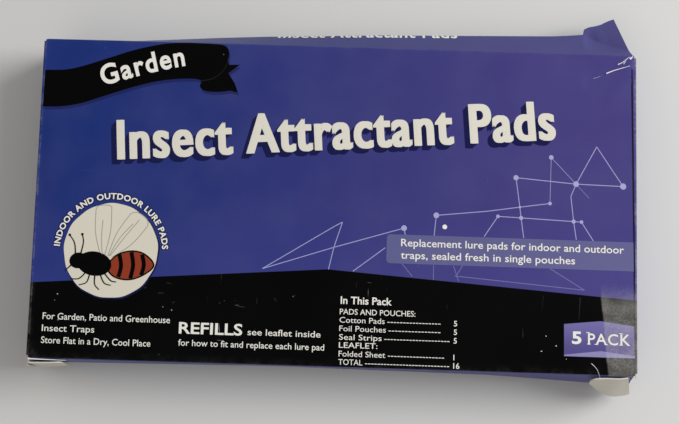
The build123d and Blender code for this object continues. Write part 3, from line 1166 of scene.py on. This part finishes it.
mesh = {  # the web of dots and lines, like a molecule
    "dots": [(82.5, 21.3, .9), (69, 13, 1), (92, 11.3, 1.1), (110, 11, 1.2), (82, 3.5, .7), (70.5, 1.7, .5),
             (38.7, -2.5, 1.1), (26.5, -7.8, 1.1), (62.2, -2.1, .7), (71, -2.4, .8), (91, -3.1, .8),
             (94, -3.2, .7)],
    "bright": [(42, -6.8, .9)],
    "line": [[(69, 13), (92, 11.3), (110, 11)], [(100, 26), (92, 11.3)], [(100, 26), (110, 11)],
              [(69, 13), (70.5, 1.7), (71, -2.4), (72, -10)],
              [(38.7, -2.5), (58, -.3), (70.5, 1.7), (82, 3.5)], [(92, 11.3), (90, 6.5), (91, -3), (92, -10)],
              [(62.2, -2.1), (71, -2.4), (91, -3.1), (94, -3.2)], [(62.2, -2.1), (57, -10)],
              [(94, -3.2), (98.5, -10.3)], [(38.7, -2.5), (38, -10.3)], [(26.5, -7.8), (0, -16)],
              [(26.5, -7.8), (27, -10.3)],
              [(-27, -25), (0, -8), (3, -6.3)], [(-27, -25), (0, -16)], [(3, -6.3), (0, -16), (-1.8, -24.4)],
              [(7.5, -24.8), (19.5, -15.5)]],
    "thin": [[(82.5, 21.3), (82, 3.5)], [(82.5, 21.3), (92, 11.3)]],
    "faint": [[(92, 11.3), (97, 6)], [(26, -21.3), (30, -26)], [(45.5, -21.5), (47.5, -27.2)],
              [(49, -21.3), (46.5, -25.3)], [(46, -25.3), (95, -29)], [(82, -21.3), (95, -29)],
              [(38, -21.4), (38, -27)]],
}


def printMesh():
    for name, width, color in (("line", 0.30, "line"), ("thin", 0.18, "line"), ("faint", 0.28, "faint")):
        drawing = [filled(stroke(line, width)) for line in mesh[name]]
        layInk(f"mesh_{name}_ink", drawing, color, 1)
    layInk("mesh_dot_ink", [disc((x, y), r, 20) for x, y, r in mesh["dots"]], "line", 2)
    layInk("mesh_bright_dot_ink", [disc((x, y), r, 20) for x, y, r in mesh["bright"]], "white", 2)


def printUpperSide():  # white words on the upper side, seen at a slant above the front panel
    def onWall(x, y, up):
        points = sectionAt(x)["upper"]
        run = y
        for a, b in zip(points, points[1:]):
            step = (b - a).length
            if run <= step:
                place = a.lerp(b, run / step)
                outward = Vector((-(b - a).y, (b - a).x)).normalized()
                if outward.x < 0:
                    outward = -outward
                place = place + outward * up
                return (x, place.x, place.y)
            run -= step
        return (x, points[-1].x, points[-1].y)
    words = lettering("Insect Attractant Pads", 7.5, straight((-25, 9.7), (46, 9.7)), 0.02, 1.08)
    layInk("upper_side_words_ink", [words], "white", 3, onWall, 1.0)


scuffsAndShade = {
    "cracks": [([(103.9, 54.9), (106.5, 56.0), (109.8, 57.1), (113.2, 58.2)], 0.42),  # line and width
               ([(108.4, 58.6), (110.4, 59.6), (112.2, 61.2), (113.4, 61.9)], 0.36),
               ([(110.6, 58.8), (111.6, 60.2)], 0.3), ([(113.2, 61.0), (114.4, 62.0)], 0.8),
               ([(99.0, 52.9), (102.4, 54.0)], 0.08), ([(88.0, -54.9), (88.3, -55.0)], 0.2),
               ([(-114.4, -61.7), (-108, -61.8), (-99.5, -61.9)], 0.55),
               ([(84.2, -50.0), (84.5, -50.4)], 0.4), ([(80.4, -46.6), (80.8, -46.7)], 0.35),
               ([(78.6, -52.4), (79.2, -52.2)], 0.3), ([(97.5, -56.2), (99.6, -58.4), (100.7, -61.6)], 0.2)],
    "streaks": [([(93.4, -31.8), (92.8, -40.2)], 0.5), ([(79.5, -31.6), (79.0, -37.0)], 0.2),
                ([(-63.0, -31.5), (-61.0, -31.9)], 0.5), ([(-66.0, -35.6), (-63.8, -35.4)], 0.7),
                ([(-60.4, -39.0), (-59.6, -38.6)], 0.8), ([(-71.5, -33.8), (-70.4, -33.5)], 0.6),
                ([(-22.0, -36.0), (-21.0, -36.8)], 0.5)],
    "edge": [(113.95, 57.0), (113.95, -61.3)],  # painted shade: a dark line along the right edge, where the front panel meets the closure
}


def printScuffsAndEdgeShade():  # where the ink has cracked off along short creases, and painted shade along the right edge
    layInk("scuff_marks", [drawn(points, width, 0.7) for points, width in scuffsAndShade["cracks"]], "paper", 4)
    # painted shade: a dark line down the front panel's right edge, where it meets the closure
    layInk("right_edge_shade_ink", [filled(stroke(scuffsAndShade["edge"], 0.5))], "darkLineAndShade", 4)
    layInk("streak_marks", [drawn(points, width, 0.6) for points, width in scuffsAndShade["streaks"]], "streak", 3)


for printPart in (printScuffsAndEdgeShade, printRibbon, printTitle, printBadge, printBar, printPlate, printPanelText,
                  printMesh, printUpperSide):
    printPart()
print("artwork printed")


pouch = {
    "half": (93.0, 56.0),
    "corner": 3.0,
    "blister": (80.0, 45.0),
    "blisterCorner": 12,
    "slope": 8.0,
    "film": 0.2,
    "foil": 0.12,  # thickness
    "seat": 0.16,  # rise of the front foil's outer face above the back film
    "height": 3.5,
    "slackCrease": 0.55,  # depth of the creases down the blister's sides
    "topCrease": 0.16,  # and on its flat top
    "cell": 2.4,
    "crimpPitch": 1.6,
}


def makeFoilWrinkle():
    # Crinkles of thin foil: sharp folds with flat facets between them, and a fine crimp near the seals.
    group, entry, result = newGroup(
        "foilWrinkle",
        [("Vector", "Vector"), ("Seal", "Float")],
        [("Height", "Float"), ("Crimp", "Float"), ("Haze", "Float")],
    )
    vector = entry.outputs["Vector"]
    warp = node(group, "TexNoise", {"Vector": vector, "Scale": 30.0, "Detail": 2.0}).outputs["Color"]
    bent = node(group, "VectorMath", {0: warp, 1: (0.02, 0.02, 0.0)}, operation="MULTIPLY").outputs[0]
    bent = node(group, "VectorMath", {0: bent, 1: vector}, operation="ADD").outputs[0]
    facets = node(group, "TexVoronoi", {"Vector": bent, "Scale": 95.0}, feature="F1").outputs["Distance"]
    small = node(group, "TexVoronoi", {"Vector": bent, "Scale": 240.0}, feature="F1").outputs["Distance"]
    folds = plus(group, facets, times(group, small, 0.35))
    waves = node(group, "TexWave", {"Vector": vector, "Scale": 1000 / pouch["crimpPitch"] / 6.2},
                 wave_type="BANDS", bands_direction="DIAGONAL")
    crimp = times(group, waves.outputs["Fac"], entry.outputs["Seal"])
    haze = ramp(group, noise(group, vector, 55, 4), 0.3, 0.75)
    linkAll(group, [(folds, result.inputs["Height"]), (crimp, result.inputs["Crimp"]),
                    (haze, result.inputs["Haze"])])
    return group


foilWrinkle = makeFoilWrinkle()


def foilMaterial():
    material, tree, shader = newTree("foilFilm")
    seal = node(tree, "Attribute", attribute_name="seal").outputs["Fac"]
    crinkle = useGroup(tree, foilWrinkle, Vector=objectCoords(tree), Seal=seal)
    height = plus(tree, crinkle.outputs["Height"], times(tree, crinkle.outputs["Crimp"], 0.8))
    linkAll(tree, [(mixColor(tree, crinkle.outputs["Haze"], (0.80, 0.81, 0.83, 1), (0.60, 0.61, 0.64, 1)),
                    shader.inputs["Base Color"]),
                   (ramp(tree, crinkle.outputs["Haze"], 0, 1, 0.20, 0.38), shader.inputs["Roughness"]),
                   (bump(tree, height, 0.8, 0.0005), shader.inputs["Normal"])])
    shader.inputs["Metallic"].default_value = 0.5  # lacquered laminate, not bare metal
    return material


def cottonMaterial():
    material, tree, shader = newTree("soakedCotton")
    vector = objectCoords(tree)
    strands = noise(tree, stretched(tree, vector, (1, 4, 1), 35), 420, 6, 0.7)
    tufts = noise(tree, vector, 150, 5, 0.65)
    stain = ramp(tree, noise(tree, vector, 28, 3), 0.40, 0.70)
    base = mixColor(tree, stain, (0.80, 0.78, 0.70, 1), (0.66, 0.58, 0.38, 1))
    shade = mixColor(tree, ramp(tree, tufts, 0.35, 0.65), (0.55, 0.52, 0.44, 1), base)
    height = plus(tree, times(tree, strands, 0.6), tufts)
    linkAll(tree, [(shade, shader.inputs["Base Color"]),
                   (ramp(tree, stain, 0, 1, 0.95, 0.62), shader.inputs["Roughness"]),
                   (bump(tree, height, 0.9, 0.0008), shader.inputs["Normal"])])
    shader.inputs["Sheen Weight"].default_value = 0.25
    return material


leaflet = {
    "line": 0.0032,  # metres from one printed line to the next
    "column": 0.0556,  # metres from one printed column to the next
    "inset": 0.02,  # from the top and the foot of its box
    "sheet": 0.12,  # thickness
    "ripple": 0.05,
}


def leafletMaterial():
    # Thin white paper with blocks of small grey lines, like text too small to read.
    material, tree, shader = newTree("leafletPaper")
    vector = objectCoords(tree)
    fibre = useGroup(tree, boardFibre, Vector=vector, Color=(0.80, 0.80, 0.78, 1))
    split = node(tree, "SeparateXYZ", {0: vector})
    x, y = split.outputs[0], split.outputs[1]
    rows = times(tree, y, 1 / leaflet["line"])
    row = mathNode(tree, "FRACT", rows)
    line = times(tree, ramp(tree, row, 0.30, 0.36), ramp(tree, row, 0.74, 0.68))
    rowStart = times(tree, mathNode(tree, "FLOOR", rows), 0.37)
    place = node(tree, "CombineXYZ", {0: times(tree, x, 420.0), 1: rowStart}).outputs[0]
    words = ramp(tree, noise(tree, place, 1.0, 1), 0.42, 0.46)
    column = mathNode(tree, "FRACT", plus(tree, times(tree, x, 1 / leaflet["column"]), 0.5))
    block = times(tree, ramp(tree, column, 0.07, 0.09), ramp(tree, column, 0.93, 0.91))
    share = times(tree, times(tree, line, words), times(tree, block, 0.75))
    inked = mixColor(tree, share, fibre.outputs["Color"], (0.06, 0.06, 0.08, 1))
    linkAll(tree, [(inked, shader.inputs["Base Color"]),
                   (bump(tree, fibre.outputs["Height"], 0.2, 0.00005), shader.inputs["Normal"])])
    shader.inputs["Roughness"].default_value = 0.7
    return material


finish["foil"], finish["cotton"], finish["leaflet"] = foilMaterial(), cottonMaterial(), leafletMaterial()


def roundedSquare(u, v, halfX, halfY, corner):  # moves a point of a square of -1 to 1 to a rounded rectangle
    x, y = u * halfX, v * halfY
    limit = halfX - cornerInset(abs(y), halfY, corner)
    return x * limit / halfX, y


def pouchRows(height):
    halfX, halfY = pouch["half"]
    us = [-1, -0.992, -0.982, *spread(-0.965, 0.965, int(2 * halfX / pouch["cell"])), 0.982, 0.992, 1]
    vs = [-1, -0.988, -0.972, *spread(-0.95, 0.95, int(2 * halfY / pouch["cell"])), 0.972, 0.988, 1]
    rows = []
    for u in us:
        row = []
        for v in vs:
            x, y = roundedSquare(u, v, halfX, halfY, pouch["corner"])
            row.append((x, y, height(x, y)))
        rows.append(row)
    return rows


def blisterShare(x, y, grow=0.0):  # 0 on the seal, 1 on top of the pad
    halfX, halfY = pouch["blister"][0] + grow, pouch["blister"][1] + grow
    inside = min(halfX - abs(x), halfY - abs(y))
    corner = pouch["blisterCorner"]
    cornerCut = corner - math.hypot(max(0, abs(x) - halfX + corner), max(0, abs(y) - halfY + corner))
    return smoothStep(0, pouch["slope"], min(inside, cornerCut))


def makeFilm(piece, place):
    seal = piece.data.attributes.new("seal", "FLOAT", "POINT")
    for vertex, value in zip(piece.data.vertices, seal.data):
        value.value = 1.0 if blisterShare(vertex.co.x, vertex.co.y, 1.5) == 0 else 0.0
    piece.data.materials.append(finish["foil"])
    toMetres(piece)
    applyModifier(piece, "SOLIDIFY", thickness=pouch["foil"] * mm, offset=-1)
    smooth(piece, 60)
    finishPiece(piece, *place)


def makePouch(number):
    low = boxOf(f"pouch_{number}_back_film")[0].z
    film, top = pouch["film"], low + pouch["height"] - 0.03
    turn = number * 1.7

    def crease(x, y):
        return (0.5 + 0.5 * math.sin(x / 5.3 + 2.1 * math.sin(y / 9 + turn) + turn)) ** 3

    def frontHeightOf(x, y):
        share = blisterShare(x, y)
        slack = 4 * share * (1 - share)
        onTop = pouch["topCrease"] if share > 0.98 else pouch["topCrease"] / 2
        swell = blendNumber(low + film + pouch["seat"], top, share)
        return swell - pouch["slackCrease"] * slack * crease(x, y) - onTop * share * crease(y * 1.3, x)

    def backHeightOf(x, y):
        share = blisterShare(x, y)
        return low + 0.02 + 0.07 * share * crease(x + 40, y)

    front = gridPiece(f"pouch_{number}_front_foil", pouchRows(frontHeightOf))
    makeFilm(front, (f"pouch_{number}", "foil_film", f"pouch_{number}_front_film"))
    back = gridPiece(f"pouch_{number}_back_foil", pouchRows(backHeightOf), flip=True)
    makeFilm(back, (f"pouch_{number}", "foil_film", f"pouch_{number}_back_film"))


pad = {
    "half": (70.0, 35.0),
    "corner": 7.0,
    "rim": (0.62, 0.9),  # heights of its side's lower and upper edge above the back film
    "rise": 1.45,  # of the upper side above the rim
    "sag": 0.55,  # the most that the lower side hangs below the rim
    "soft": 1.6,  # width of its rounded edge
    "lump": 0.10,
}


def makePad(number):
    low = boxOf(f"cotton_pad_{number}")[0]
    rimLow, rimHigh = (low.z + height for height in pad["rim"])
    halfX, halfY = pad["half"]
    rows = []
    us = [-1, -0.994, -0.985, *spread(-0.97, 0.97, 44), 0.985, 0.994, 1]
    vs = [-1, -0.99, -0.975, *spread(-0.94, 0.94, 24), 0.975, 0.99, 1]
    for u in us:
        row = []
        for v in vs:
            x, y = roundedSquare(u, v, halfX, halfY, pad["corner"])
            inside = min(halfX - abs(x), halfY - abs(y))
            loft = math.sqrt(max(0.0, 1 - (1 - min(1, inside / pad["soft"])) ** 2))
            lump = pad["lump"] * math.sin(x / 4.1 + number) * math.sin(y / 3.7 - number) * loft
            row.append((x, y, rimHigh + pad["rise"] * loft + lump))
        rows.append(row)
    piece = gridPiece(f"cotton_pad_{number}_wad", rows)
    piece.data.materials.append(finish["cotton"])
    drop = 0.5  # a working distance, made good when the lower skin is placed
    pick(piece)
    bpy.ops.object.mode_set(mode="EDIT")
    bpy.ops.mesh.select_all(action="SELECT")
    bpy.ops.mesh.extrude_region_move(TRANSFORM_OT_translate={"value": (0, 0, -drop)})
    bpy.ops.object.mode_set(mode="OBJECT")
    for vertex in piece.data.vertices:  # the lower skin mirrors the upper one, within the pad's height
        if vertex.select:
            above = vertex.co.z + drop - rimHigh
            vertex.co.z = rimLow - min(pad["sag"], above * 0.5)
    pick(piece)
    bpy.ops.object.mode_set(mode="EDIT")
    bpy.ops.mesh.select_all(action="SELECT")
    bpy.ops.mesh.normals_make_consistent(inside=False)
    bpy.ops.object.mode_set(mode="OBJECT")
    toMetres(piece)
    smooth(piece, 60)
    finishPiece(piece, f"pouch_{number}", "soaked_cotton", f"cotton_pad_{number}")


def makeLeaflet():
    low, high = boxOf("instruction_leaflet")
    bottom, top = low.z + leaflet["inset"], high.z - leaflet["inset"]
    middle = (low.z + high.z) / 2
    profile = [(high.y - 0.4, top)]
    profile += [(y, top) for y in spread(high.y - 3, low.y + 2, 26)]
    profile += [(low.y + 0.28 - 0.26 * math.sin(a), middle + (top - middle) * math.cos(a))
                for a in spread(0.1, math.pi - 0.1, 8)]  # the fold
    profile += [(y, bottom) for y in spread(low.y + 2, high.y - 3, 26)]
    profile += [(high.y, bottom)]
    rows = []
    for y, z in profile:
        row = []
        for x in spread(low.x, high.x, 60):
            ripple = leaflet["ripple"] * math.sin(x / 13) * smoothStep(low.y + 3, high.y, y)
            row.append((x, y, z - abs(ripple) if z > middle else z))
        rows.append(row)
    sheet = gridPiece("leaflet_sheet", rows)
    sheet.data.materials.append(finish["leaflet"])
    toMetres(sheet)
    applyModifier(sheet, "SOLIDIFY", thickness=leaflet["sheet"] * mm, offset=-1)
    smooth(sheet, 50)
    finishPiece(sheet, "leaflet", "leaflet_paper", "instruction_leaflet")


for number in range(1, 6):
    makePouch(number)
    makePad(number)
makeLeaflet()
print("pouches, pads and leaflet made")
